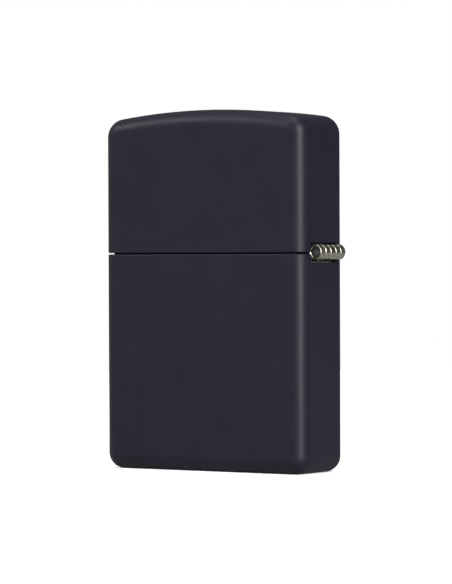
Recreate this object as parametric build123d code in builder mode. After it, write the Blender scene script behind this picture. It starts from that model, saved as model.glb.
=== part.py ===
from build123d import *
from math import atan2, cos, degrees, pi, sin, sqrt
import os

# Flip-top petrol lighter: a case, a lid on a five-knuckle hinge, and the insert that fills the case.
# Millimetres. The origin is the centre of the bottom face, +X points to the hinge, -Y to the front
# and +Z up. The lid is closed.

os.makedirs("parts", exist_ok=True)

# Driving dimensions: the outer form
width = 38.1
depth = 12.9
height = 57.4
crown_rise = 1.5
wall = 0.75
base_corner_r = 2.6
top_corner_r = 3.0
face_edge_r = 2.4
rim_r = 0.2
seam_z = 34.6
seam_gap = 0.2

# Hinge
hinge_x = width / 2 + 0.55
hinge_z = seam_z + 0.15
knuckle_count = 5
knuckle_length = 1.37
knuckle_gap = 0.1
knuckle_round_r = 0.12
leaf_thickness = 0.5
leaf_length = 9.0
leaf_corner_r = 1.2
pin_r = 0.7
pin_fit = 0.05
pin_recess = 0.2
notch_end_gap = 0.18
notch_gap_above = 0.2
notch_gap_below = 0.4
knuckle_clearance = 0.15

# Insert: canister and top plate
can_left = -18.1
can_right = 17.6
can_depth = 11.1
can_corner_r = 1.5
can_sheet = 0.4
can_bottom = 2.0
deck_bottom = 35.0
sheet = 0.5
skirt_depth = 1.8

# Windscreen and ears
screen_left = -13.2
screen_right = 1.5
screen_depth = 9.6
screen_top = 51.8
screen_end_r = 3.2
ear_depth = 6.5
ear_right = 16.3
ear_top = 47.5
ear_waist_x = 9.4
cam_ear_top = 39.6
strip_bend_r = 0.75
vent_r = 1.2
vent_pitch = 4.2
vent_centre = (-5.9, 43.6)

# Striker wheel and flint
wheel_x = 6.6
wheel_z = 45.1
wheel_r = 4.0
wheel_width = 4.4
wheel_boss_r = 2.3
wheel_boss_width = 5.0
wheel_teeth = 44
tooth_depth = 0.35
wheel_bevel = 0.4
wheel_axle_r = 1.0
axle_fit = 0.05
tube_r = 1.95
tube_bore_r = 1.35
tube_bottom = 3.7
tube_top = 40.2
flint_r = 1.2
flint_overreach = 0.5
flint_bottom = 36.0
flint_gap = 0.06
plunger_length = 2.4
plunger_nose_r = 0.7
plunger_nose_length = 2.0
spring_wire_r = 0.175
spring_r = 0.97
spring_turns = 16
screw_head_r = 2.6
screw_head_height = 1.4
screw_slot_width = 0.7
screw_slot_depth = 0.6
thread_r = 1.3
thread_depth = 0.2
thread_pitch = 0.5
thread_turns = 12

# Cam and the lid's tongue, placed from the hinge axis
cam_swing = 27
cam_pivot = (hinge_x - 5.25, hinge_z + 2.45)
lower_nose = (hinge_x - 3.05, hinge_z - 0.6)
upper_nose = (hinge_x - 3.0, hinge_z + 5.0)
nose_r = 0.5
cam_hub_r = 1.5
cam_flat = 1.25
cam_hub_width = 4.6
cam_blade_width = 2.2
cam_axle_r = 0.7
slot_left = cam_pivot[0] - 0.9
slot_depth = 5.2
pocket_depth = 2.8
pocket_sheet = 0.4
leaf_spring_t = 0.3
leaf_spring_flat = 2.0
leaf_spring_rise = 1.6
leaf_rivet_x = wheel_x + 3.3
leaf_rivet_r = 0.6
leaf_rivet_head_r = 1.0
leaf_rivet_head = 0.5
leaf_rivet_foot = 0.4
tongue_width = 4.0
tongue_thickness = 0.5
tongue_joggle = 0.1
tongue_tip_z = hinge_z - 1.2
tongue_foot_z = hinge_z + 1.6
tongue_top_z = hinge_z + 4.6

# Wick and packing
wick_x = -5.0
wick_r = 1.4
wick_top = 43.6
wick_bend_r = 3.8
wire_r = 0.15
pad_bottom = 2.2
pad_top = 4.6
soft_clearance = 0.2

# Worked out from those
case_top = seam_z - seam_gap / 2
lid_bottom = seam_z + seam_gap / 2
crown_r = ((width / 2) ** 2 + crown_rise**2) / (2 * crown_rise)
leaf_outer_x = width / 2 - wall
leaf_x = leaf_outer_x - leaf_thickness / 2
barrel_bore_r = pin_r + pin_fit
barrel_r = barrel_bore_r + leaf_thickness
barrel_length = knuckle_count * knuckle_length + (knuckle_count - 1) * knuckle_gap
leaf_edge = barrel_r + knuckle_clearance
can_length = can_right - can_left
can_centre = (can_left + can_right) / 2
deck_top = deck_bottom + sheet
pocket_bottom = deck_bottom - pocket_depth
cavity_left = can_left + can_sheet + soft_clearance
cavity_right = can_right - can_sheet - soft_clearance
cavity_depth = can_depth - 2 * (can_sheet + soft_clearance)
hinge_axis = Axis((hinge_x, 0, hinge_z), (0, 1, 0))


def closed_form(inset):
    """The closed lighter's outer form, drawn in by inset on every side."""
    half_width = width / 2 - inset
    shoulder_z = height - crown_r + sqrt((crown_r - inset) ** 2 - half_width**2)
    with BuildPart() as form:
        with BuildSketch(Plane.XZ) as outline:
            with BuildLine():
                base = Line((-half_width, inset), (half_width, inset))
                side = Line(base @ 1, (half_width, shoulder_z))
                crown = ThreePointArc(side @ 1, (0, height - inset), (-half_width, shoulder_z))
                Line(crown @ 1, base @ 0)
            make_face()
            fillet(outline.vertices().group_by(Axis.Y)[0], base_corner_r - inset)
            fillet(outline.vertices().group_by(Axis.Y)[-1], top_corner_r - inset)
        extrude(amount=depth / 2 - inset, both=True)
        fillet(form.faces().filter_by(Axis.Y).edges(), face_edge_r - inset)
    return form.part


def cut_hinge_notch():
    """Cuts the hinge barrel's window out of the shell being built."""
    with Locations((hinge_x, 0, hinge_z - barrel_r - notch_gap_below)):
        Box(
            2 * (barrel_r + leaf_thickness),
            barrel_length + 2 * notch_end_gap,
            2 * barrel_r + notch_gap_below + notch_gap_above,
            align=(Align.CENTER, Align.CENTER, Align.MIN),
            mode=Mode.SUBTRACT,
        )


def add_leaf(knuckles, up):
    """Adds a hinge leaf: its plate, up or down from the axis, and the numbered knuckles."""
    way = 1 if up else -1
    grow = Align.MIN if up else Align.MAX
    with Locations((leaf_x, 0, hinge_z + way * leaf_edge)):
        plate = Box(leaf_thickness, barrel_length, leaf_length, align=(Align.CENTER, Align.CENTER, grow))
    far_edges = plate.edges().filter_by(Axis.X).group_by(Axis.Z)[-1 if up else 0]
    fillet(far_edges, leaf_corner_r)
    neck_top = hinge_z + way * leaf_edge
    for number in knuckles:
        y = (number - (knuckle_count - 1) / 2) * (knuckle_length + knuckle_gap)
        with BuildSketch(Plane.XZ.offset(-y)) as neck:
            with BuildLine():
                Polyline(
                    (leaf_outer_x - leaf_thickness, neck_top),
                    (leaf_outer_x, neck_top),
                    (hinge_x - barrel_bore_r - pin_fit, hinge_z),
                    (hinge_x - barrel_r, hinge_z),
                    close=True,
                )
            make_face()
        extrude(neck.sketch, amount=knuckle_length / 2, both=True)
        with BuildSketch(Plane.XY.offset(hinge_z)) as ring:
            with Locations((hinge_x + barrel_bore_r, y)):
                Rectangle(barrel_r - barrel_bore_r, knuckle_length, align=(Align.MIN, Align.CENTER))
            fillet(ring.vertices().group_by(Axis.X)[-1], knuckle_round_r)
        revolve(ring.sketch, axis=hinge_axis)


def add_cross_rivet(x, z, shank_r, head_r, head_height):
    """Adds a rivet through both ears, with a rounded head outside each."""
    for side in (1, -1):
        with BuildSketch(Plane.XY.offset(z)) as half:
            with BuildLine():
                Polyline(
                    (x, 0),
                    (x + shank_r, 0),
                    (x + shank_r, side * ear_depth / 2),
                    (x + head_r, side * ear_depth / 2),
                    (x + head_r, side * (ear_depth / 2 + head_height)),
                    (x, side * (ear_depth / 2 + head_height)),
                    close=True,
                )
            make_face()
            rim = half.vertices().filter_by_position(Axis.X, x + head_r - 0.01, x + head_r + 0.01)
            fillet(rim.sort_by(Axis.Y)[-1 if side > 0 else 0], head_height * 0.8)
        revolve(half.sketch, axis=Axis((x, 0, z), (0, 1, 0)))


# Case
outer_form = closed_form(0)
inner_form = closed_form(wall)

with BuildPart() as case_shell:
    add(outer_form)
    split(bisect_by=Plane.XY.offset(case_top), keep=Keep.BOTTOM)
    fillet(case_shell.faces().sort_by(Axis.Z)[-1].edges(), rim_r)
    add(inner_form, mode=Mode.SUBTRACT)
    cut_hinge_notch()

with BuildPart() as case_hinge_leaf:
    add_leaf((0, 2, 4), up=False)

with BuildPart() as hinge_pin:
    with Locations(Location((hinge_x, 0, hinge_z), (90, 0, 0))):
        Cylinder(pin_r, barrel_length - 2 * pin_recess)
    chamfer(hinge_pin.edges().filter_by(GeomType.CIRCLE), pin_r / 5)

# Lid
with BuildPart() as lid_shell:
    add(outer_form)
    split(bisect_by=Plane.XY.offset(lid_bottom), keep=Keep.TOP)
    fillet(lid_shell.faces().sort_by(Axis.Z)[0].edges(), rim_r)
    add(inner_form, mode=Mode.SUBTRACT)
    cut_hinge_notch()

with BuildPart() as lid_hinge_leaf:
    add_leaf((1, 3), up=True)

# The tongue's foot is welded to the lid's leaf. Its tip reaches below the hinge axis to the cam.
foot_x = leaf_outer_x - leaf_thickness
tongue_x = foot_x - tongue_joggle
with BuildPart() as lid_cam_tongue:
    with BuildSketch(Plane.XZ) as tongue:
        with BuildLine():
            Polyline(
                (foot_x, tongue_top_z),
                (foot_x - tongue_thickness, tongue_top_z),
                (foot_x - tongue_thickness, tongue_foot_z + 0.3),
                (tongue_x - tongue_thickness, tongue_foot_z),
                (tongue_x - tongue_thickness, tongue_tip_z),
                (tongue_x, tongue_tip_z),
                (tongue_x, tongue_foot_z - 0.3),
                (foot_x, tongue_foot_z),
                close=True,
            )
        make_face()
        fillet(tongue.vertices().group_by(Axis.Y)[0], tongue_thickness * 0.45)
    extrude(amount=tongue_width / 2, both=True)

# Fuel canister: a sleeve open at the bottom, with a notch at the top for the lid's tongue
with BuildPart() as fuel_canister:
    with BuildSketch(Plane.XY.offset(can_bottom)):
        with Locations((can_centre, 0)):
            RectangleRounded(can_length, can_depth, can_corner_r)
            RectangleRounded(
                can_length - 2 * can_sheet,
                can_depth - 2 * can_sheet,
                can_corner_r - can_sheet,
                mode=Mode.SUBTRACT,
            )
    extrude(amount=deck_bottom - can_bottom)
    with Locations((can_right, 0, deck_bottom)):
        Box(
            4 * can_sheet,
            slot_depth,
            2 * pocket_depth,
            mode=Mode.SUBTRACT,
        )

# Chimney: windscreen and ears from one folded strip, on the deck that closes the canister
with BuildPart() as chimney:
    with BuildSketch(Plane.XY.offset(deck_top)) as strip:
        with Locations((screen_left, 0)):
            Rectangle(screen_right - screen_left, screen_depth, align=(Align.MIN, Align.CENTER))
        with Locations((screen_right - 1, 0)):
            Rectangle(ear_right - screen_right + 2, ear_depth, align=(Align.MIN, Align.CENTER))
        corners = strip.vertices().group_by(Axis.X)
        fillet(corners[1], strip_bend_r)
        fillet(strip.vertices().group_by(Axis.X)[0], screen_end_r)
        offset(amount=-sheet, kind=Kind.INTERSECTION, mode=Mode.SUBTRACT)
    extrude(amount=screen_top - deck_top)
    with BuildSketch(Plane.XZ) as side_view:
        with BuildLine():
            outline_points = [
                (screen_left - 1, deck_top),
                (screen_left - 1, screen_top),
                (screen_right, screen_top),
                (screen_right + 1.8, ear_top),
                (ear_waist_x, ear_top),
                (ear_waist_x, cam_ear_top + 2.6),
                (ear_waist_x + 2.2, cam_ear_top),
                (ear_right, cam_ear_top),
                (ear_right, deck_top),
            ]
            Polyline(*outline_points, close=True)
        make_face()
        bend_radii = {2: 1.0, 3: 1.6, 4: 2.2, 5: 1.6, 6: 1.2, 7: 1.5}
        for index, radius in bend_radii.items():
            fillet(side_view.vertices().sort_by_distance(outline_points[index])[0], radius)
    extrude(amount=depth, both=True, mode=Mode.INTERSECT)
    with BuildSketch(Plane.XY.offset(deck_bottom)):
        with Locations((can_centre, 0)):
            RectangleRounded(can_length, can_depth, can_corner_r)
    extrude(amount=sheet)
    with BuildSketch(Plane.XY.offset(deck_bottom)):
        with Locations((can_centre, 0)):
            skirt_corner_r = can_corner_r - can_sheet
            RectangleRounded(can_length - 2 * can_sheet, can_depth - 2 * can_sheet, skirt_corner_r)
            RectangleRounded(
                can_length - 4 * can_sheet,
                can_depth - 4 * can_sheet,
                skirt_corner_r - can_sheet,
                mode=Mode.SUBTRACT,
            )
    extrude(amount=-skirt_depth)
    with Locations((slot_left - pocket_sheet, 0, deck_bottom)):
        Box(
            can_right - can_sheet - slot_left + pocket_sheet,
            slot_depth + 2 * pocket_sheet,
            pocket_depth,
            align=(Align.MIN, Align.CENTER, Align.MAX),
        )
    with Locations((slot_left, 0, pocket_bottom + pocket_sheet)):
        Box(
            can_right - slot_left,
            slot_depth,
            pocket_depth - pocket_sheet + sheet,
            align=(Align.MIN, Align.CENTER, Align.MIN),
            mode=Mode.SUBTRACT,
        )
    with BuildSketch(Plane.XY.offset(deck_bottom)):
        with Locations((wick_x, 0)):
            Circle(wick_r)
        with Locations((wheel_x, 0)):
            Circle(tube_r)
        with Locations((leaf_rivet_x, 0)):
            Circle(leaf_rivet_r)
    extrude(amount=sheet, mode=Mode.SUBTRACT)
    with BuildSketch(Plane.XZ):
        with Locations((wheel_x, wheel_z)):
            Circle(wheel_axle_r)
        with Locations(cam_pivot):
            Circle(cam_axle_r)
        for row, count in ((-1, 3), (0, 2), (1, 3)):
            with Locations((vent_centre[0], vent_centre[1] + row * vent_pitch)):
                with GridLocations(vent_pitch, vent_pitch, count, 1):
                    Circle(vent_r)
    extrude(amount=depth, both=True, mode=Mode.SUBTRACT)

# Striker wheel: V teeth between bevelled rims, and a boss each side
with BuildPart() as striker_wheel:
    with BuildSketch(Plane.XZ):
        with BuildLine():
            tooth_points = []
            for index in range(2 * wheel_teeth):
                angle = index * pi / wheel_teeth
                radius = wheel_r - tooth_depth * (index % 2)
                tooth_points.append((wheel_x + radius * cos(angle), wheel_z + radius * sin(angle)))
            Polyline(*tooth_points, close=True)
        make_face()
    extrude(amount=wheel_width / 2, both=True)
    with BuildSketch(Plane.XY.offset(wheel_z)) as wheel_half:
        with Locations((wheel_x, 0)):
            Rectangle(wheel_r, wheel_width, align=(Align.MIN, Align.CENTER))
        chamfer(wheel_half.vertices().group_by(Axis.X)[-1], wheel_bevel)
    revolve(axis=Axis((wheel_x, 0, wheel_z), (0, 1, 0)), mode=Mode.INTERSECT)
    with BuildSketch(Plane.XZ):
        with Locations((wheel_x, wheel_z)):
            Circle(wheel_boss_r)
    extrude(amount=wheel_boss_width / 2, both=True)
    with BuildSketch(Plane.XZ):
        with Locations((wheel_x, wheel_z)):
            Circle(wheel_axle_r + axle_fit)
    extrude(amount=wheel_boss_width, both=True, mode=Mode.SUBTRACT)

with BuildPart() as wheel_rivet:
    add_cross_rivet(wheel_x, wheel_z, wheel_axle_r, wheel_axle_r + 0.7, 0.5)
    with BuildSketch(Plane.XZ):
        with Locations((wheel_x, wheel_z)):
            Circle(wheel_axle_r * 0.55)
    extrude(amount=depth, both=True, mode=Mode.SUBTRACT)

# Cam: a hub with two flats for the leaf spring, and a blade with two horns for the lid's tongue
with BuildPart() as cam:
    with BuildSketch(Plane.XZ):
        with Locations(cam_pivot):
            Circle(cam_hub_r)
            with PolarLocations(cam_flat + 1, 2, start_angle=-90, angular_range=cam_swing, endpoint=True):
                Rectangle(2, 2 * cam_hub_r, mode=Mode.SUBTRACT)
    extrude(amount=cam_hub_width / 2, both=True)
    with BuildSketch(Plane.XZ):
        for nose in (lower_nose, upper_nose):
            run = Vector(*nose) - Vector(*cam_pivot)
            middle = (Vector(*nose) + Vector(*cam_pivot)) * 0.5
            with Locations(middle):
                SlotCenterToCenter(run.length, 2 * nose_r, rotation=degrees(atan2(run.Y, run.X)))
    extrude(amount=cam_blade_width / 2, both=True)
    with BuildSketch(Plane.XZ):
        with Locations(cam_pivot):
            Circle(cam_axle_r + axle_fit)
    extrude(amount=cam_hub_width, both=True, mode=Mode.SUBTRACT)

with BuildPart() as cam_rivet:
    add_cross_rivet(*cam_pivot, cam_axle_r, cam_axle_r + 0.5, 0.45)

# Leaf spring: riveted to the deck, its two prongs under the cam's hub
spring_left = wheel_x + tube_r + 0.4
spring_bend = spring_left + leaf_spring_flat
spring_prong = spring_bend + leaf_spring_rise
spring_right = cam_pivot[0] + 0.55
prong_z = cam_pivot[1] - cam_flat - 0.03 - leaf_spring_t
with BuildPart() as cam_spring:
    with BuildSketch(Plane.XZ):
        with BuildLine():
            Polyline(
                (spring_left, deck_top),
                (spring_bend, deck_top),
                (spring_prong, prong_z),
                (spring_right, prong_z),
                (spring_right, prong_z + leaf_spring_t),
                (spring_prong, prong_z + leaf_spring_t),
                (spring_bend, deck_top + leaf_spring_t),
                (spring_left, deck_top + leaf_spring_t),
                close=True,
            )
        make_face()
    extrude(amount=cam_hub_width / 2, both=True)
    with BuildSketch(Plane.XY.offset(deck_top)):
        with Locations((leaf_rivet_x, 0)):
            Circle(leaf_rivet_r)
        with Locations((spring_prong, 0)):
            Rectangle(spring_right, cam_blade_width + 0.3, align=(Align.MIN, Align.CENTER))
    extrude(amount=2 * leaf_spring_t + sheet, mode=Mode.SUBTRACT)

with BuildPart() as cam_spring_rivet:
    with Locations((leaf_rivet_x, 0, deck_bottom - leaf_rivet_foot)):
        Cylinder(leaf_rivet_head_r, leaf_rivet_foot, align=(Align.CENTER, Align.CENTER, Align.MIN))
    with Locations((leaf_rivet_x, 0, deck_bottom)):
        Cylinder(leaf_rivet_r, sheet + leaf_spring_t, align=(Align.CENTER, Align.CENTER, Align.MIN))
    with Locations((leaf_rivet_x, 0, deck_top + leaf_spring_t)):
        Cylinder(leaf_rivet_head_r, leaf_rivet_head, align=(Align.CENTER, Align.CENTER, Align.MIN))
    fillet(cam_spring_rivet.faces().sort_by(Axis.Z)[-1].edges(), leaf_rivet_head * 0.8)

# Flint, its tube, plunger, spring and screw
with BuildPart() as flint_tube:
    with BuildSketch(Plane.XY.offset(tube_bottom)):
        with Locations((wheel_x, 0)):
            Circle(tube_r)
            Circle(tube_bore_r, mode=Mode.SUBTRACT)
    extrude(amount=tube_top - tube_bottom)

with BuildPart() as flint:
    with Locations((wheel_x, 0, flint_bottom)):
        Cylinder(
            flint_r,
            wheel_z - wheel_r - flint_bottom + flint_overreach,
            align=(Align.CENTER, Align.CENTER, Align.MIN),
        )
    with BuildSketch(Plane.XZ):
        with Locations((wheel_x, wheel_z)):
            Circle(wheel_r + flint_gap)
    extrude(amount=2 * flint_r, both=True, mode=Mode.SUBTRACT)

plunger_bottom = flint_bottom - plunger_length
with BuildPart() as flint_plunger:
    with Locations((wheel_x, 0, flint_bottom)):
        Cylinder(flint_r, plunger_length, align=(Align.CENTER, Align.CENTER, Align.MAX))
    with Locations((wheel_x, 0, plunger_bottom)):
        Cylinder(plunger_nose_r, plunger_nose_length, align=(Align.CENTER, Align.CENTER, Align.MAX))
    chamfer(flint_plunger.faces().sort_by(Axis.Z)[0].edges(), 0.2)

screw_head_top = tube_bottom - 0.1
thread_top = screw_head_top + thread_pitch * thread_turns
with BuildPart() as flint_screw:
    with BuildSketch(Plane.XZ):
        with BuildLine():
            thread_points = [(wheel_x, screw_head_top)]
            for turn in range(thread_turns):
                root_z = screw_head_top + turn * thread_pitch
                thread_points.append((wheel_x + thread_r - thread_depth, root_z))
                thread_points.append((wheel_x + thread_r, root_z + thread_pitch / 2))
            thread_points.append((wheel_x + thread_r - thread_depth, thread_top))
            thread_points.append((wheel_x, thread_top))
            Polyline(*thread_points, close=True)
        make_face()
    revolve(axis=Axis((wheel_x, 0, 0), (0, 0, 1)))
    with Locations((wheel_x, 0, thread_top)):
        Cylinder(plunger_nose_r, plunger_nose_length, align=(Align.CENTER, Align.CENTER, Align.MIN))
    with Locations((wheel_x, 0, screw_head_top)):
        Cylinder(screw_head_r, screw_head_height, align=(Align.CENTER, Align.CENTER, Align.MAX))
    chamfer(flint_screw.faces().sort_by(Axis.Z)[0].edges(), 0.25)
    with Locations((wheel_x, 0, screw_head_top - screw_head_height)):
        Box(
            3 * screw_head_r,
            screw_slot_width,
            2 * screw_slot_depth,
            mode=Mode.SUBTRACT,
        )

spring_bottom = thread_top + spring_wire_r
spring_height = plunger_bottom - spring_wire_r - spring_bottom
with BuildLine() as spring_route:
    Helix(spring_height / spring_turns, spring_height, spring_r, center=(wheel_x, 0, spring_bottom))

with BuildPart() as flint_spring:
    with BuildSketch(Plane(spring_route.wire() ^ 0)):
        Circle(spring_wire_r)
    sweep(path=spring_route.wire(), is_frenet=True)

# Wick: down through the deck, then to and fro through the packing, with a copper wire in it
with BuildLine(Plane.XZ) as wick_route:
    FilletPolyline(
        (wick_x, wick_top),
        (wick_x, 30.0),
        (-14.5, 30.0),
        (-14.5, 22.0),
        (2.0, 22.0),
        (2.0, 14.0),
        (-14.5, 14.0),
        (-14.5, 6.5),
        radius=wick_bend_r,
    )

with BuildPart() as wick:
    with BuildSketch(Plane(wick_route.wire() ^ 0)):
        Circle(wick_r)
        Circle(wire_r, mode=Mode.SUBTRACT)
    sweep(path=wick_route.wire())

with BuildPart() as wick_wire:
    with BuildSketch(Plane(wick_route.wire() ^ 0)):
        Circle(wire_r)
    sweep(path=wick_route.wire())

# Each ball of fibre fills a gap beside the wick: lowest and highest corner in X and Z
ball_gaps = [
    ((cavity_left + can_sheet, 31.7), (-8.9, 34.7)),
    ((-3.3, 28.8), (4.4, 34.7)),
    ((-11.3, 23.6), (4.4, 28.4)),
    ((cavity_left, 15.6), (-1.2, 20.4)),
    ((-11.2, 4.9), (4.4, 12.4)),
    ((8.8, 4.9), (cavity_right, 31.9)),
]
ball_depth = cavity_depth - 2 * can_sheet
with BuildPart() as packing_balls:
    for (low_x, low_z), (high_x, high_z) in ball_gaps:
        with Locations(((low_x + high_x) / 2, 0, (low_z + high_z) / 2)):
            Box(high_x - low_x, ball_depth, high_z - low_z)
    fillet(packing_balls.edges(), 1.2)

with BuildPart() as felt_pad:
    with BuildSketch(Plane.XY.offset(pad_bottom)):
        with Locations((can_centre, 0)):
            RectangleRounded(cavity_right - cavity_left, cavity_depth, 0.9)
        with Locations((wheel_x, 0)):
            Circle(screw_head_r + soft_clearance, mode=Mode.SUBTRACT)
    extrude(amount=pad_top - pad_bottom)

pieces = {
    "case_shell": case_shell,
    "case_hinge_leaf": case_hinge_leaf,
    "hinge_pin": hinge_pin,
    "lid_shell": lid_shell,
    "lid_hinge_leaf": lid_hinge_leaf,
    "lid_cam_tongue": lid_cam_tongue,
    "fuel_canister": fuel_canister,
    "chimney": chimney,
    "striker_wheel": striker_wheel,
    "wheel_rivet": wheel_rivet,
    "cam": cam,
    "cam_rivet": cam_rivet,
    "cam_spring": cam_spring,
    "cam_spring_rivet": cam_spring_rivet,
    "flint_tube": flint_tube,
    "flint": flint,
    "flint_plunger": flint_plunger,
    "flint_spring": flint_spring,
    "flint_screw": flint_screw,
    "wick": wick,
    "wick_wire": wick_wire,
    "packing_balls": packing_balls,
    "felt_pad": felt_pad,
}
for name, piece in pieces.items():
    piece.part.label = name
    export_step(piece.part, f"parts/{name}.step")
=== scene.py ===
import math
import random

import bmesh
import bpy
from mathutils import Matrix, Vector

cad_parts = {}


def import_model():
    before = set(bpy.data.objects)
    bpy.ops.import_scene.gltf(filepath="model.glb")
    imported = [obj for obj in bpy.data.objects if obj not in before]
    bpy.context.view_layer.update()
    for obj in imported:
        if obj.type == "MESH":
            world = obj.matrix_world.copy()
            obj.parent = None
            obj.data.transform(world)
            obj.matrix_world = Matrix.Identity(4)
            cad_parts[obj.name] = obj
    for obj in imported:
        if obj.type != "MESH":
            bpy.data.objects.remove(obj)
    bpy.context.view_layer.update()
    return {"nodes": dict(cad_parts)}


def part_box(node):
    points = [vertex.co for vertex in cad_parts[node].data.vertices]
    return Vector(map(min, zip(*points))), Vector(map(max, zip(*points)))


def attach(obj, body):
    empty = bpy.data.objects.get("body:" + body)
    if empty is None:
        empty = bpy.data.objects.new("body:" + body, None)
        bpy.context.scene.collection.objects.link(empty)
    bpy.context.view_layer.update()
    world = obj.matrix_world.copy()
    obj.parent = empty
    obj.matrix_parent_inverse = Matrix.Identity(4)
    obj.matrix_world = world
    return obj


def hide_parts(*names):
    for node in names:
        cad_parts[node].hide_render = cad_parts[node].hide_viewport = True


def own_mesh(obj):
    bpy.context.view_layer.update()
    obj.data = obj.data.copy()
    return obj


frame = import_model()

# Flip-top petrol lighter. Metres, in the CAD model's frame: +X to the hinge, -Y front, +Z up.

MM = 0.001
rng = random.Random(7)


# ---------------------------------------------------------------- materials
class Paint:
    """A node material in the making: its tree, its shader and object coordinates in millimetres."""

    def __init__(self, name):
        self.material = bpy.data.materials.new(name)
        self.material.use_nodes = True
        self.nodes = self.material.node_tree.nodes
        self.links = self.material.node_tree.links
        self.shader = self.nodes["Principled BSDF"]
        place = self.nodes.new("ShaderNodeTexCoord")
        scale = self.nodes.new("ShaderNodeVectorMath")
        scale.operation = "SCALE"
        scale.inputs["Scale"].default_value = 1 / MM
        self.links.new(place.outputs["Object"], scale.inputs[0])
        self.place = scale.outputs["Vector"]

    def set(self, **values):
        for name, value in values.items():
            socket = self.shader.inputs[name.replace("_", " ")]
            if hasattr(value, "is_linked"):
                self.links.new(value, socket)
            else:
                socket.default_value = value

    def stretched(self, factors):
        node = self.nodes.new("ShaderNodeVectorMath")
        node.operation = "MULTIPLY"
        node.inputs[1].default_value = factors
        self.links.new(self.place, node.inputs[0])
        return node.outputs["Vector"]

    def noise(self, scale, detail=3.0, rough=0.55, place=None):
        node = self.nodes.new("ShaderNodeTexNoise")
        node.inputs["Scale"].default_value = scale
        node.inputs["Detail"].default_value = detail
        node.inputs["Roughness"].default_value = rough
        self.links.new(place or self.place, node.inputs["Vector"])
        return node.outputs["Fac"]

    def ramp(self, source, low, high, start=0.35, end=0.65):
        node = self.nodes.new("ShaderNodeMapRange")
        node.data_type = "FLOAT"
        node.inputs["From Min"].default_value = start
        node.inputs["From Max"].default_value = end
        node.inputs["To Min"].default_value = low
        node.inputs["To Max"].default_value = high
        self.links.new(source, node.inputs["Value"])
        return node.outputs["Result"]

    def colours(self, source, first, second, start=0.35, end=0.65):
        node = self.nodes.new("ShaderNodeMix")
        node.data_type = "RGBA"
        node.inputs["A"].default_value = (*first, 1)
        node.inputs["B"].default_value = (*second, 1)
        self.links.new(self.ramp(source, 0.0, 1.0, start, end), node.inputs["Factor"])
        return node.outputs["Result"]

    def mixed(self, factor, first, second):
        node = self.nodes.new("ShaderNodeMix")
        node.data_type = "RGBA"
        self.links.new(factor, node.inputs["Factor"])
        self.links.new(first, node.inputs["A"])
        self.links.new(second, node.inputs["B"])
        return node.outputs["Result"]

    def added(self, first, second):
        node = self.nodes.new("ShaderNodeMath")
        node.operation = "ADD"
        self.links.new(first, node.inputs[0])
        self.links.new(second, node.inputs[1])
        return node.outputs["Value"]

    def worn(self, low, high, spread):
        """High along convex edges, low elsewhere."""
        node = self.nodes.new("ShaderNodeNewGeometry")
        return self.ramp(node.outputs["Pointiness"], low, high, 0.5, 0.5 + spread)

    def bump(self, source, height, strength=1.0):
        node = self.nodes.new("ShaderNodeBump")
        node.inputs["Strength"].default_value = strength
        node.inputs["Distance"].default_value = height
        self.links.new(source, node.inputs["Height"])
        self.links.new(node.outputs["Normal"], self.shader.inputs["Normal"])


def black_coat():
    p = Paint("black_powder_coat")
    clouds = p.noise(0.22, 4.0)
    grain = p.added(p.noise(5.5, 2.0), p.noise(14.0, 2.0))
    p.set(
        Base_Color=p.colours(clouds, (0.0056, 0.0043, 0.0108), (0.0070, 0.0056, 0.0128)),
        Roughness=p.ramp(p.added(clouds, p.noise(3.0)), 0.40, 0.47, 0.7, 1.3),
        Specular_IOR_Level=0.185,
    )
    p.bump(grain, 0.004 * MM, 0.5)
    return p.material


def brushed(name, light, dark, along, low=0.24, high=0.42, metal=1.0, painted_shade_from=None):
    """Brushed metal: fine scratches along one axis, over a cloudy tint. Above the given height it is
    painted near-black and rough: painted shade, so that the seam gap between the shells reads dark.
    """
    p = Paint(name)
    factors = [9.0, 9.0, 9.0]
    factors["XYZ".index(along)] = 0.22
    lines = p.noise(1.6, 5.0, 0.7, p.stretched(factors))
    clouds = p.noise(0.35, 3.0)
    tone = p.added(lines, clouds)
    clean = p.colours(tone, dark, light, 0.75, 1.25)
    p.set(
        Base_Color=clean,
        Metallic=metal,
        Roughness=p.ramp(lines, low, high, 0.3, 0.7),
    )
    # Painted shade: a near-black band from the given height up, standing for the shade in the seam gap.
    if painted_shade_from is not None:
        split = p.nodes.new("ShaderNodeSeparateXYZ")
        p.links.new(p.place, split.inputs[0])
        seam_shade_mask = p.ramp(split.outputs["Z"], 0.0, 1.0, painted_shade_from, painted_shade_from + 0.25)
        seam_shade_colour = p.colours(tone, tuple(0.025 * c for c in dark), tuple(0.03 * c for c in light), 0.75, 1.25)
        p.set(Base_Color=p.mixed(seam_shade_mask, clean, seam_shade_colour), Roughness=p.ramp(seam_shade_mask, high, 0.8, 0.0, 1.0))
    p.bump(lines, 0.006 * MM, 0.35)
    return p.material


def satin(name, light, dark, low=0.28, high=0.45, metal=1.0, grain=4.0, pits=0.006):
    """Tumbled or aged metal: cloudy tone, fine pits, and lighter worn edges."""
    p = Paint(name)
    clouds = p.noise(0.9, 5.0, 0.6)
    fine = p.noise(grain, 3.0, 0.6)
    edge = p.worn(0.0, 1.0, 0.06)
    body = p.colours(clouds, dark, light)
    bright = p.colours(fine, light, tuple(min(1.0, c * 1.25) for c in light))
    p.set(
        Base_Color=p.mixed(edge, body, bright),
        Metallic=metal,
        Roughness=p.ramp(p.added(clouds, fine), low, high, 0.75, 1.25),
    )
    p.bump(fine, pits * MM, 0.4)
    return p.material


def fibre(name, light, dark, scale, height, sheen=0.35):
    p = Paint(name)
    hairs = p.noise(scale, 6.0, 0.75)
    clumps = p.noise(scale * 0.25, 3.0)
    p.set(
        Base_Color=p.colours(p.added(hairs, clumps), dark, light, 0.7, 1.25),
        Roughness=0.95,
        Specular_IOR_Level=0.15,
        Sheen_Weight=sheen,
        Subsurface_Weight=0.05,
        Subsurface_Scale=0.3 * MM,
    )
    p.bump(hairs, height * MM, 0.8)
    return p.material


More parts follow.
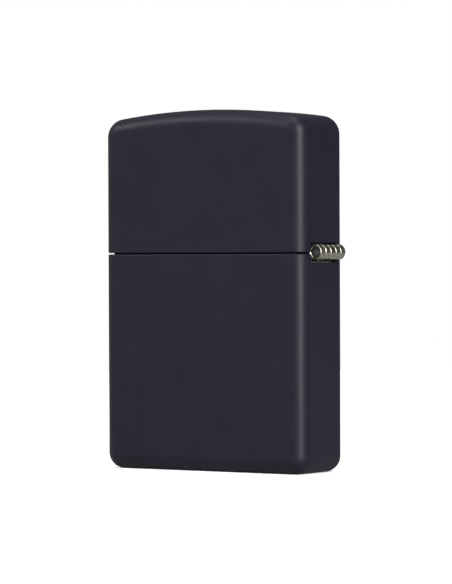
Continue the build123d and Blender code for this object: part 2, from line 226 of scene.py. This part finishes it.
BLACK = black_coat()
BARE = brushed("bare_inside", (0.44, 0.43, 0.41), (0.32, 0.31, 0.295), "Z", 0.30, 0.46)
HINGE = satin("aged_hinge_metal", (0.30, 0.295, 0.235), (0.15, 0.15, 0.11), 0.20, 0.36)
# Painted shade: a near-black finish for the hinge barrel's end faces, standing for the shade at the
# barrel's ends.
HINGE_END_SHADE = satin("hinge_end_painted_shade", (0.035, 0.03, 0.03), (0.018, 0.016, 0.018), 0.5, 0.7, 0.6)
PIN = satin("pin_steel", (0.10, 0.095, 0.095), (0.05, 0.048, 0.05), 0.3, 0.5)
STEEL = satin("satin_steel", (0.42, 0.42, 0.43), (0.30, 0.30, 0.32), 0.22, 0.38)
INSERT = brushed("insert_brushed", (0.46, 0.455, 0.45), (0.33, 0.325, 0.32), "X", 0.32, 0.50)
# The canister is painted near-black from 34 mm up: painted shade for the seam gap between the shells.
CAN = brushed("canister_brushed", (0.46, 0.455, 0.45), (0.33, 0.325, 0.32), "Z", 0.26, 0.42, painted_shade_from=34.0)
WHEEL = satin("hardened_wheel", (0.22, 0.21, 0.20), (0.11, 0.105, 0.10), 0.32, 0.5, 1.0, 7.0, 0.01)
SPRING = satin("blued_spring", (0.40, 0.40, 0.45), (0.24, 0.24, 0.30), 0.2, 0.34)
BRASS = brushed("turned_brass", (0.80, 0.58, 0.27), (0.60, 0.41, 0.17), "Z", 0.22, 0.38)
FLINT = satin("flint_rod", (0.12, 0.115, 0.11), (0.05, 0.048, 0.046), 0.5, 0.75, 0.7, 5.0, 0.03)
COPPER = satin("copper_wire", (0.80, 0.42, 0.26), (0.55, 0.26, 0.15), 0.25, 0.4)
COTTON = fibre("wick_cotton", (0.60, 0.55, 0.44), (0.38, 0.33, 0.25), 9.0, 0.05)
CHARRED = fibre("wick_charred", (0.12, 0.10, 0.085), (0.02, 0.018, 0.017), 9.0, 0.06, 0.1)
PACKING = fibre("packing_fibre", (0.50, 0.48, 0.43), (0.30, 0.285, 0.25), 3.5, 0.2)
FELT = fibre("pressed_felt", (0.34, 0.32, 0.29), (0.20, 0.185, 0.165), 6.0, 0.08)


# ---------------------------------------------------------------- mesh helpers
def to_object(mesh_builder, name, material, body, node=None, smooth=True):
    """Turns a bmesh into a piece that rides on a body and stands for a CAD node."""
    bmesh.ops.recalc_face_normals(mesh_builder, faces=mesh_builder.faces)
    data = bpy.data.meshes.new(name)
    mesh_builder.to_mesh(data)
    mesh_builder.free()
    piece = bpy.data.objects.new(name, data)
    bpy.context.scene.collection.objects.link(piece)
    materials = material if isinstance(material, (list, tuple)) else [material]
    for each in materials:
        data.materials.append(each)
    for face in data.polygons:
        face.use_smooth = smooth
    if body:
        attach(piece, body)
    if node:
        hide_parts(node)
    return piece


def sharpen(piece, degrees=35):
    """Marks the edges sharper than this, so that the rest shade smooth."""
    mesh = bmesh.new()
    mesh.from_mesh(piece.data)
    for edge in mesh.edges:
        if len(edge.link_faces) == 2:
            edge.smooth = edge.calc_face_angle(0) < math.radians(degrees)
    mesh.to_mesh(piece.data)
    mesh.free()


def tube(mesh, points, radius, sides=10, closed_ends=True, material_index=0, radii=None):
    """A round tube through points, with its frame carried along without twist."""
    rings = []
    forward = (points[1] - points[0]).normalized()
    side = forward.orthogonal().normalized()
    for index, point in enumerate(points):
        nxt = points[min(index + 1, len(points) - 1)]
        last = points[max(index - 1, 0)]
        heading = (nxt - last).normalized()
        side = (side - heading * side.dot(heading)).normalized()
        up = heading.cross(side)
        r = radii[index] if radii else radius
        ring = []
        for k in range(sides):
            a = 2 * math.pi * k / sides
            ring.append(mesh.verts.new(point + side * (r * math.cos(a)) + up * (r * math.sin(a))))
        rings.append(ring)
    for first, second in zip(rings, rings[1:]):
        for k in range(sides):
            face = mesh.faces.new((first[k], first[(k + 1) % sides], second[(k + 1) % sides], second[k]))
            face.material_index = material_index
    if closed_ends:
        for ring in (rings[0], rings[-1]):
            face = mesh.faces.new(ring)
            face.material_index = material_index
    return rings


def revolved(mesh, profile, centre, steps=96, axis="Y", material_index=0):
    """Turns a closed profile of (along, radius) points round an axis through centre."""
    rings = []
    for step in range(steps):
        a = 2 * math.pi * step / steps
        ring = []
        for along, radius in profile:
            u, v = radius * math.cos(a), radius * math.sin(a)
            offset = {"X": (along, u, v), "Y": (u, along, v), "Z": (u, v, along)}[axis]
            ring.append(mesh.verts.new(centre + Vector(offset)))
        rings.append(ring)
    for step in range(steps):
        first, second = rings[step], rings[(step + 1) % steps]
        for k in range(len(profile)):
            j = (k + 1) % len(profile)
            face = mesh.faces.new((first[k], first[j], second[j], second[k]))
            face.material_index = material_index
    return rings


def assign(node, material):
    """Gives a carried-over CAD node its finish."""
    slots = frame["nodes"][node].data.materials
    slots.clear()
    slots.append(material)
    frame["nodes"][node].data.update()


# ---------------------------------------------------------------- shells
def paint_shell(node):
    """The shell's CAD form stays. Its outside and its rim are coated, and its inside is bare metal."""
    piece = frame["nodes"][node]
    piece.data.materials.clear()
    piece.data.materials.append(BLACK)
    piece.data.materials.append(BARE)
    half_x, half_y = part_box("case_shell")[1].x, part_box("case_shell")[1].y
    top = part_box("lid_shell")[1].z
    corner, crown, skin = 2.4 * MM, 1.5 * MM, 0.58 * MM
    for face in piece.data.polygons:
        c = face.center
        depth_z = c.z if node == "case_shell" else top - crown * (c.x / half_x) ** 2 - c.z
        depths = (half_x - abs(c.x), half_y - abs(c.y), depth_z)
        short = math.sqrt(sum(max(0.0, corner - d) ** 2 for d in depths))
        face.material_index = 1 if corner - short > skin else 0


paint_shell("case_shell")
paint_shell("lid_shell")

for node, material in {
    "hinge_pin": PIN,
    "lid_cam_tongue": STEEL,
    "fuel_canister": CAN,
    "chimney": INSERT,
    "wheel_rivet": STEEL,
    "cam": STEEL,
    "cam_rivet": STEEL,
    "cam_spring": SPRING,
    "cam_spring_rivet": STEEL,
    "flint_tube": BRASS,
    "flint": FLINT,
    "flint_plunger": BRASS,
    "flint_screw": BRASS,
}.items():
    assign(node, material)


# ---------------------------------------------------------------- striker wheel
def striker_wheel():
    """Cross-cut wheel: its teeth slant one way, then the other, across its width."""
    low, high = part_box("striker_wheel")
    centre = (low + high) / 2
    radius = (high.z - low.z) / 2
    boss_half = (high.y - low.y) / 2
    rim_half = boss_half - 0.3 * MM
    teeth, across, around = 44, 44, 44 * 12
    depth, bevel = 0.34 * MM, 0.4 * MM
    bore, boss = 1.05 * MM, 2.3 * MM
    mesh = bmesh.new()
    outer = []
    for i in range(across + 1):
        y = -rim_half + 2 * rim_half * i / across
        edge = max(0.0, abs(y) - (rim_half - bevel))
        ring = []
        for k in range(around):
            turn = k / around * teeth
            slant = y / (2 * rim_half) * 3.0
            first = abs((turn + slant) % 1.0 - 0.5) * 2
            second = abs((turn - slant) % 1.0 - 0.5) * 2
            cut = max(1 - first * 1.25, 1 - second * 1.25, 0.0)
            r = min(radius - depth * cut, radius - edge)
            a = 2 * math.pi * k / around
            ring.append(mesh.verts.new(centre + Vector((r * math.cos(a), y, r * math.sin(a)))))
        outer.append(ring)
    profile = []
    for side in (1, -1):
        profile.append([(side * rim_half, 3.35 * MM), (side * (rim_half - 0.12 * MM), 3.1 * MM),
                        (side * (rim_half - 0.12 * MM), 2.5 * MM), (side * rim_half, boss),
                        (side * (boss_half - 0.05 * MM), boss - 0.03 * MM),
                        (side * boss_half, boss - 0.1 * MM),
                        (side * boss_half, bore + 0.08 * MM), (side * (boss_half - 0.06 * MM), bore)])
    sides = []
    for chain, ring in zip(profile, (outer[-1], outer[0])):
        rings = [ring]
        for y, r in chain:
            rings.append([
                mesh.verts.new(centre + Vector((r * math.cos(2 * math.pi * k / around), y,
                                                r * math.sin(2 * math.pi * k / around))))
                for k in range(around)
            ])
        sides.append(rings)
    chains = outer + sides[0][1:]
    chains = [list(ring) for ring in sides[1][:0:-1]] + chains
    for first, second in zip(chains, chains[1:]):
        for k in range(around):
            j = (k + 1) % around
            mesh.faces.new((first[k], first[j], second[j], second[k]))
    first, second = chains[-1], chains[0]
    for k in range(around):
        j = (k + 1) % around
        mesh.faces.new((first[k], first[j], second[j], second[k]))
    piece = to_object(mesh, "striker_wheel_cross_cut", WHEEL, "striker", "striker_wheel")
    sharpen(piece, 28)


striker_wheel()


# ---------------------------------------------------------------- hinge
def plate(mesh, outline, thickness_axis, start, end, ease=0.06 * MM):
    """A flat sheet piece: outline in the other two axes, with eased edges."""
    centre = sum((Vector(p) for p in outline), Vector((0, 0))) / len(outline)
    rings = []
    levels = [(start, ease), (start + ease, 0), (end - ease, 0), (end, ease)]
    for level, inset in levels:
        ring = []
        for point in outline:
            offset = Vector(point) - centre
            drawn = centre + offset * (1 - inset / max(offset.length, ease))
            place = {"X": (level, drawn.x, drawn.y), "Y": (drawn.x, level, drawn.y)}[thickness_axis]
            ring.append(mesh.verts.new(place))
        rings.append(ring)
    count = len(outline)
    for first, second in zip(rings, rings[1:]):
        for k in range(count):
            mesh.faces.new((first[k], first[(k + 1) % count], second[(k + 1) % count], second[k]))
    mesh.faces.new(rings[0])
    mesh.faces.new(rings[-1])


def hinge_piece(node, name, body, numbers, way):
    """A hinge leaf: knuckles curled from sheet with rolled ends, on a plate with weld dimples."""
    low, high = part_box("case_hinge_leaf")
    pin_low, pin_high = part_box("hinge_pin")
    axis = (pin_low + pin_high) / 2
    barrel = high.x - axis.x
    bore = (pin_high.z - pin_low.z) / 2 + 0.05 * MM
    sheet = barrel - bore
    count, gap = 5, 0.1 * MM
    length = (high.y - low.y - (count - 1) * gap) / count
    inner_x, outer_x = low.x, low.x + sheet
    near_z, far_z = axis.z + way * (barrel + 0.15 * MM), axis.z + way * (barrel + 9.15 * MM)
    edge = 0.2 * MM
    mesh = bmesh.new()
    for number in numbers:
        y0 = low.y + number * (length + gap)
        profile = []
        steps = 6
        for i in range(steps + 1):
            a = math.pi / 2 * i / steps
            profile.append((edge - edge * math.cos(a), barrel - edge + edge * math.sin(a)))
        waist = 10
        for i in range(1, waist):
            t = i / waist
            dip = 0.035 * MM * math.sin(math.pi * t) ** 2
            profile.append((edge + (length - 2 * edge) * t, barrel - dip))
        for i in range(steps + 1):
            a = math.pi / 2 * (1 - i / steps)
            profile.append((length - edge + edge * math.cos(a), barrel - edge + edge * math.sin(a)))
        ease = 0.08 * MM
        profile += [(length, bore + ease), (length - ease, bore), (ease, bore), (0, bore + ease)]
        revolved(mesh, profile, Vector((axis.x, y0, axis.z)), 96)
        neck = [
            (inner_x, near_z), (outer_x, near_z),
            (axis.x - bore - 0.05 * MM, axis.z), (axis.x - barrel + 0.02 * MM, axis.z),
        ]
        plate(mesh, neck, "Y", y0 + 0.03 * MM, y0 + length - 0.03 * MM)
    corner = 1.2 * MM
    outline = [(low.y, near_z), (high.y, near_z)]
    for side, first in ((high.y, 0), (low.y, 90)):
        inward = -1 if side > 0 else 1
        for i in range(9):
            a = math.radians(first + 90 * i / 8)
            along = side + inward * corner + corner * math.cos(a)
            outline.append((along, far_z - way * corner + way * corner * math.sin(a)))
    plate(mesh, outline, "X", inner_x, outer_x)
    for y in (-2.2 * MM, 0.0, 2.2 * MM):
        spot = Vector((inner_x + 0.02 * MM, y, near_z + way * 5.2 * MM))
        ring_profile = [(0.0, 0.42 * MM), (-0.05 * MM, 0.5 * MM), (-0.05 * MM, 0.6 * MM), (0.0, 0.7 * MM)]
        revolved(mesh, ring_profile, spot, 28, "X")
    piece = to_object(mesh, name, [HINGE, HINGE_END_SHADE], body, node)
    # Painted shade: the barrel's end faces get the near-black finish.
    end_y = (low.y + 0.03 * MM, high.y - 0.03 * MM)
    for face in piece.data.polygons:
        c = face.center
        if abs(face.normal.y) > 0.75 and (c.y < end_y[0] or c.y > end_y[1]) and c.x > outer_x:
            face.material_index = 1
    sharpen(piece, 32)
    return piece


hinge_piece("case_hinge_leaf", "case_hinge_leaf_curled", "case", (0, 2, 4), -1)
hinge_piece("lid_hinge_leaf", "lid_hinge_leaf_curled", "lid", (1, 3), 1)


# ---------------------------------------------------------------- wick
def wick_line():
    """The wick's centreline, down through the deck and to and fro below it."""
    low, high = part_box("wick")
    r = (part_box("wick_wire")[1].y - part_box("wick_wire")[0].y) / 2
    bend = 3.8 * MM
    half = 1.4 * MM
    left, right = low.x + half, high.x - half
    corners = [
        Vector((-5 * MM, 0, high.z)), Vector((-5 * MM, 0, 30 * MM)), Vector((left, 0, 30 * MM)),
        Vector((left, 0, 22 * MM)), Vector((right, 0, 22 * MM)), Vector((right, 0, 14 * MM)),
        Vector((left, 0, 14 * MM)), Vector((left, 0, low.z)),
    ]
    line = [corners[0]]
    for before, corner, after in zip(corners, corners[1:], corners[2:]):
        a = (before - corner).normalized()
        b = (after - corner).normalized()
        centre = corner + (a + b) * bend
        for i in range(13):
            angle = math.pi / 2 * i / 12
            line.append(centre - b * (bend * math.cos(angle)) - a * (bend * math.sin(angle)))
    line.append(corners[-1])
    fine = [line[0]]
    step = 0.12 * MM
    for start, end in zip(line, line[1:]):
        pieces = max(1, round((end - start).length / step))
        for i in range(1, pieces + 1):
            fine.append(start.lerp(end, i / pieces))
    return fine, half, r


def braided_wick():
    """Eight strands plaited over a solid core, charred and frayed at the top."""
    line, half, _ = wick_line()
    travelled = [0.0]
    for start, end in zip(line, line[1:]):
        travelled.append(travelled[-1] + (end - start).length)
    side = Vector((0, 1, 0))
    frames = []
    for index, point in enumerate(line):
        heading = (line[min(index + 1, len(line) - 1)] - line[max(index - 1, 0)]).normalized()
        side = (side - heading * side.dot(heading)).normalized()
        frames.append((point, side, heading.cross(side)))
    mesh = bmesh.new()
    strands, lay, strand_r = 16, 6.4 * MM, 0.225 * MM
    route_r = half - strand_r - 0.095 * MM
    char_length = 1.6 * MM
    for strand in range(strands):
        hand = 1 if strand % 2 else -1
        phase = 2 * math.pi * strand / strands
        points, radii = [], []
        for (point, u, v), s in list(zip(frames, travelled))[::2]:
            turn = phase + hand * 2 * math.pi * s / lay
            wave = math.cos(strands / 2 * (turn - phase) + math.pi * (strand % 2))
            r = route_r + 0.09 * MM * wave
            points.append(point + u * (r * math.cos(turn)) + v * (r * math.sin(turn)))
            radii.append(strand_r)
        split_at = next(i for i, s in enumerate(travelled[::2]) if s > char_length)
        tube(mesh, points[: split_at + 1], strand_r, 8, True, 1)
        tube(mesh, points[split_at:], strand_r, 8, True, 0)
    core = [f[0] for f in frames][::4]
    core_r = route_r - 0.02 * MM
    tube(mesh, [core[0] - Vector((0, 0, 0.2 * MM))] + core[2:5], core_r, 16, True, 1)
    tube(mesh, core[4:], core_r, 16, True, 0)
    tips = 26
    for tip in range(tips):
        a = rng.uniform(0, 2 * math.pi)
        r = half * rng.uniform(0.35, 0.85)
        root = line[0] + Vector((r * math.cos(a), r * math.sin(a), -0.7 * MM))
        lean = Vector((math.cos(a), math.sin(a), 0)) * (0.1 * MM * rng.random())
        top = root + lean + Vector((0, 0, 0.55 * MM + 0.12 * MM * rng.random()))
        stray = Vector((0.04 * MM * rng.uniform(-1, 1), 0.04 * MM * rng.uniform(-1, 1), 0))
        middle = root.lerp(top, 0.5) + stray
        tube(mesh, [root, middle, top], 0.05 * MM, 5, True, 1, [0.06 * MM, 0.05 * MM, 0.02 * MM])
    to_object(mesh, "braided_wick", [COTTON, CHARRED], "case", "wick")


braided_wick()
assign("wick_wire", COPPER)


# ---------------------------------------------------------------- flint spring
def flint_spring():
    """A coil spring with closed ends, built at one length; the real one shortens as the flint stack sinks.
    """
    low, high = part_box("flint_spring")
    wire_r, turns, closed, sides = 0.175 * MM, 15.0, 1.25, 10
    coil_r = (high.x - low.x) / 2 - wire_r
    centre = (low + high) / 2
    bottom, top = low.z + wire_r, high.z - wire_r
    tight = 2 * wire_r * 1.04
    steps = int(turns * 40)
    free = (top - bottom - 2 * closed * tight) / (turns - 2 * closed)
    points = []
    for i in range(steps + 1):
        t = turns * i / steps
        low_part = min(t, closed) * tight
        mid_part = max(0.0, min(t, turns - closed) - closed) * free
        high_part = max(0.0, t - (turns - closed)) * tight
        a = 2 * math.pi * t
        z = bottom + low_part + mid_part + high_part
        points.append(Vector((centre.x + coil_r * math.cos(a), coil_r * math.sin(a), z)))
    mesh = bmesh.new()
    tube(mesh, points, wire_r, sides)
    piece = to_object(mesh, "flint_spring_coil", SPRING, "case", "flint_spring")
    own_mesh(piece)


flint_spring()


# ---------------------------------------------------------------- felt and packing
def felt_pad():
    """A pressed felt pad with soft edges, round the flint screw."""
    low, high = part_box("felt_pad")
    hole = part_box("flint_screw")
    hole_x = (hole[0].x + hole[1].x) / 2
    hole_r = (hole[1].x - hole[0].x) / 2 + 0.22 * MM
    corner = 0.9 * MM
    soft = 0.45 * MM
    around = 168
    centre = (low + high) / 2
    half_x = (high.x - low.x) / 2
    half_y = (high.y - low.y) / 2

    def outline(t, inset):
        """A point on the rounded rectangle, drawn in by inset."""
        hx, hy, r = half_x - inset, half_y - inset, max(corner - inset * 0.5, 0.2 * MM)
        spans = [2 * (hy - r), math.pi / 2 * r, 2 * (hx - r), math.pi / 2 * r] * 2
        starts = [
            (Vector((hx, -(hy - r))), 90, None), (Vector((hx - r, hy - r)), 0, "arc"),
            (Vector((hx - r, hy)), 180, None), (Vector((-(hx - r), hy - r)), 90, "arc"),
            (Vector((-hx, hy - r)), 270, None), (Vector((-(hx - r), -(hy - r))), 180, "arc"),
            (Vector((-(hx - r), -hy)), 0, None), (Vector((hx - r, -(hy - r))), 270, "arc"),
        ]
        s = (t % 1.0) * sum(spans)
        for span, (point, angle, kind) in zip(spans, starts):
            if s <= span:
                if kind == "arc":
                    a = math.radians(angle) + s / r
                    return point + Vector((math.cos(a), math.sin(a))) * r
                a = math.radians(angle)
                return point + Vector((math.cos(a), math.sin(a))) * s
            s -= span
        return starts[0][0]

    mesh = bmesh.new()

    def height(x, y, top):
        wave = 0.05 * MM * math.sin(x / MM * 1.7 + 0.6) * math.cos(y / MM * 1.3)
        grain = 0.02 * MM * rng.uniform(-1, 1)
        return (high.z - 0.08 * MM + wave + grain) if top else (low.z + 0.08 * MM - wave + grain)

    shares = 14
    top_rings, bottom_rings = [], []
    for i in range(shares + 1):
        share = i / shares
        top_ring, bottom_ring = [], []
        for k in range(around):
            t = k / around
            edge = outline(t, soft * 0.5)
            x0, y0 = edge.x + centre.x, edge.y
            direction = Vector((x0 - hole_x, y0)).normalized()
            x1, y1 = hole_x + direction.x * hole_r, direction.y * hole_r
            x, y = x0 + (x1 - x0) * share, y0 + (y1 - y0) * share
            top_ring.append(mesh.verts.new((x, y, height(x, y, True))))
            bottom_ring.append(mesh.verts.new((x, y, height(x, y, False))))
        top_rings.append(top_ring)
        bottom_rings.append(bottom_ring)
    wall_rings = []
    for level in (0.12, 0.35, 0.65, 0.88):
        ring = []
        for k in range(around):
            edge = outline(k / around, 0)
            z = low.z + (high.z - low.z) * level
            jitter = 0.015 * MM * rng.uniform(-1, 0)
            ring.append(mesh.verts.new((edge.x * (1 + jitter) + centre.x, edge.y, z)))
        wall_rings.append(ring)
    bore_rings = []
    for level in (0.12, 0.5, 0.88):
        ring = []
        for k in range(around):
            x, y, _ = top_rings[-1][k].co
            ring.append(mesh.verts.new((x, y, low.z + (high.z - low.z) * level)))
        bore_rings.append(ring)
    loop = bottom_rings[::-1] + wall_rings + top_rings + bore_rings[::-1]
    for first, second in zip(loop, loop[1:] + loop[:1]):
        for k in range(around):
            j = (k + 1) % around
            mesh.faces.new((first[k], first[j], second[j], second[k]))
    piece = to_object(mesh, "felt_pad_pressed", FELT, "case", "felt_pad")


felt_pad()


def packing():
    """Loose fibre balls: crumpled lobed forms, each in the space its CAD solid holds."""
    node = frame["nodes"]["packing_balls"]
    source = bmesh.new()
    source.from_mesh(node.data)
    bmesh.ops.remove_doubles(source, verts=source.verts, dist=0.001 * MM)
    groups, seen = [], set()
    for vert in source.verts:
        if vert in seen:
            continue
        stack, group = [vert], []
        seen.add(vert)
        while stack:
            item = stack.pop()
            group.append(item.co.copy())
            for edge in item.link_edges:
                other = edge.other_vert(item)
                if other not in seen:
                    seen.add(other)
                    stack.append(other)
        groups.append(group)
    source.free()
    groups.sort(key=lambda g: (round(min(p.z for p in g), 5), round(min(p.x for p in g), 5)))
    mesh = bmesh.new()
    for number, group in enumerate(groups):
        low = Vector((min(p[i] for p in group) for i in range(3)))
        high = Vector((max(p[i] for p in group) for i in range(3)))
        centre, half = (low + high) / 2, (high - low) / 2
        part = bmesh.new()
        bmesh.ops.create_icosphere(part, subdivisions=5, radius=1)
        for vert in part.verts:
            d = vert.co.normalized()
            power = 3.2
            r = 1 / (abs(d.x) ** power + abs(d.y) ** power + abs(d.z) ** power) ** (1 / power)
            fold = (
                math.sin(9 * d.x + 4 * d.z + number) * math.cos(8 * d.y - 5 * d.z)
                + 0.5 * math.sin(19 * d.z + 13 * d.y + 2 * number) * math.cos(17 * d.x)
            )
            squeeze = 0.955 + 0.028 * fold
            vert.co = Vector((d.x * r * half.x, d.y * r * half.y, d.z * r * half.z)) * min(squeeze, 0.998)
            vert.co += centre
        data = bpy.data.meshes.new("lump")
        part.to_mesh(data)
        part.free()
        mesh.from_mesh(data)
        bpy.data.meshes.remove(data)
    piece = to_object(mesh, "packing_fibre_balls", PACKING, "case", "packing_balls")


packing()


# ---------------------------------------------------------------- stage, light and camera
def stage():
    mesh = bmesh.new()
    rings, around, reach = 12, 96, 0.45
    hub = mesh.verts.new((0, 0, 0))
    last = None
    for i in range(1, rings + 1):
        r = reach * (i / rings) ** 1.5
        angles = [2 * math.pi * k / around for k in range(around)]
        ring = [mesh.verts.new((r * math.cos(a), r * math.sin(a), 0)) for a in angles]
        for k in range(around):
            j = (k + 1) % around
            mesh.faces.new((last[k], ring[k], ring[j], last[j]) if last else (hub, ring[k], ring[j]))
        last = ring
    data = bpy.data.meshes.new("pale_floor")
    mesh.to_mesh(data)
    mesh.free()
    p = Paint("pale_floor_paper")
    tone = p.noise(0.05, 3.0)
    paper = p.colours(tone, (0.93, 0.93, 0.93), (0.95, 0.95, 0.95))
    shade = p.colours(tone, (0.42, 0.42, 0.42), (0.44, 0.44, 0.44))
    eye = p.nodes.new("ShaderNodeLightPath")
    seen = p.mixed(eye.outputs["Is Camera Ray"], shade, paper)
    p.set(Base_Color=seen, Roughness=0.9, Specular_IOR_Level=0.1)
    glow = p.ramp(eye.outputs["Is Camera Ray"], 0.0, 0.3, 0.0, 1.0)
    p.set(Emission_Color=(1, 1, 1, 1), Emission_Strength=glow)
    data.materials.append(p.material)
    floor = bpy.data.objects.new("pale_floor", data)
    bpy.context.scene.collection.objects.link(floor)


CAMERA_TURN = 33.797
CAMERA_PITCH = 0.707
CAMERA_ROLL = -0.2295
CAMERA_DISTANCE = 541.68 * MM
AIM_RIGHT = 0.463 * MM
AIM_HEIGHT = 28.42 * MM
LENS = 208.94


def camera():
    az, pitch, roll = (math.radians(v) for v in (CAMERA_TURN, CAMERA_PITCH, CAMERA_ROLL))
    forward = Vector((-math.sin(az) * math.cos(pitch), math.cos(az) * math.cos(pitch), -math.sin(pitch)))
    right = Vector((math.cos(az), math.sin(az), 0))
    up = right.cross(forward)
    turned_right = right * math.cos(roll) + up * math.sin(roll)
    turned_up = up * math.cos(roll) - right * math.sin(roll)
    data = bpy.data.cameras.new("photo_camera")
    data.lens = LENS
    data.sensor_width = 36
    data.sensor_fit = "AUTO"
    data.clip_start = 0.01
    data.clip_end = 20
    holder = bpy.data.objects.new("photo_camera", data)
    bpy.context.scene.collection.objects.link(holder)
    target = right * AIM_RIGHT + Vector((0, 0, AIM_HEIGHT))
    place = target - forward * CAMERA_DISTANCE
    holder.matrix_world = Matrix(
        (
            (turned_right.x, turned_up.x, -forward.x, place.x),
            (turned_right.y, turned_up.y, -forward.y, place.y),
            (turned_right.z, turned_up.z, -forward.z, place.z),
            (0, 0, 0, 1),
        )
    )
    bpy.context.scene.camera = holder


def soft_light(name, bearing, height, distance, size, power, tall=None):
    """An area light aimed at the lighter. Bearing is from the front, towards the hinge side."""
    data = bpy.data.lights.new(name, "AREA")
    data.shape = "RECTANGLE"
    data.size = size
    data.size_y = tall or size
    data.energy = power
    holder = bpy.data.objects.new(name, data)
    bpy.context.scene.collection.objects.link(holder)
    a = math.radians(bearing)
    middle = Vector((0, 0, 0.028))
    place = middle + Vector((math.sin(a) * distance, -math.cos(a) * distance, height))
    turn = (middle - place).to_track_quat("-Z", "Y").to_matrix().to_4x4()
    holder.matrix_world = Matrix.Translation(place) @ turn


def world():
    """White to the eye. The light it gives is full from the front and dim from behind."""
    sky = bpy.data.worlds.new("studio_white")
    sky.use_nodes = True
    bpy.context.scene.world = sky
    nodes, links = sky.node_tree.nodes, sky.node_tree.links
    ground = nodes["Background"]
    place = nodes.new("ShaderNodeTexCoord")
    split = nodes.new("ShaderNodeSeparateXYZ")
    links.new(place.outputs["Generated"], split.inputs[0])
    fall = nodes.new("ShaderNodeMapRange")
    fall.inputs["From Min"].default_value = -1
    fall.inputs["From Max"].default_value = 1
    fall.inputs["To Min"].default_value = 0.92
    fall.inputs["To Max"].default_value = 0.12
    links.new(split.outputs["Y"], fall.inputs["Value"])
    eye = nodes.new("ShaderNodeLightPath")
    pick = nodes.new("ShaderNodeMix")
    links.new(eye.outputs["Is Camera Ray"], pick.inputs["Factor"])
    links.new(fall.outputs["Result"], pick.inputs["A"])
    pick.inputs["B"].default_value = 1.0
    links.new(pick.outputs["Result"], ground.inputs["Strength"])
    ground.inputs["Color"].default_value = (1, 1, 1, 1)


stage()
camera()
world()
soft_light("key_right", 58, 0.24, 0.75, 0.28, 11.0, 0.6)
soft_light("edge_left", -50, 0.45, 0.64, 0.25, 2.0, 0.25)
soft_light("top_soft", 0, 0.8, 0.14, 0.5, 3.0, 0.5)

bpy.context.scene.view_settings.view_transform = "Standard"
